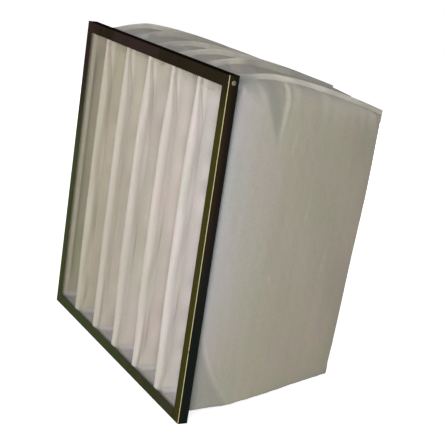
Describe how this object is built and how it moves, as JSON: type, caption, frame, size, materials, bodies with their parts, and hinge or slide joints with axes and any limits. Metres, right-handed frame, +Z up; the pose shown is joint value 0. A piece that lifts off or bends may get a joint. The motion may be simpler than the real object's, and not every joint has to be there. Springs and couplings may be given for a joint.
{
  "type": "bag air filter",
  "caption": "Pocket air filter: a folded steel header frame holding a row of sewn cloth pockets that catch dust from the air of a duct",
  "frame": {"origin": "middle of the underside of the header frame", "axes": "+Z up along the header's height, +Y from the open front of the header back along the pockets, +X to the right seen from the front"},
  "size_m": [0.595, 0.3609, 0.6027],
  "materials": {
    "header_paint": "dark brown-black paint on folded steel, also over the two lower rivets",
    "rivet_alloy": "bare aluminium blind rivets",
    "strip_steel": "plain galvanised strip",
    "filter_cloth": "off-white nonwoven filter cloth, slightly soiled"
  },
  "bodies": {
    "root": {"header_left": "header_paint", "header_right": "header_paint", "header_bottom": "header_paint", "header_top": "header_paint", "corner_rivet_bottom_left": "header_paint", "corner_rivet_top_left": "rivet_alloy", "corner_rivet_bottom_right": "header_paint", "corner_rivet_top_right": "rivet_alloy", "mouth_strip_1": "strip_steel", "mouth_strip_2": "strip_steel", "mouth_strip_3": "strip_steel", "mouth_strip_4": "strip_steel", "mouth_strip_5": "strip_steel", "mouth_strip_6": "strip_steel", "pocket_1": "filter_cloth", "pocket_2": "filter_cloth", "pocket_3": "filter_cloth", "pocket_4": "filter_cloth", "pocket_5": "filter_cloth", "pocket_6": "filter_cloth"}
  },
  "joints": []
}
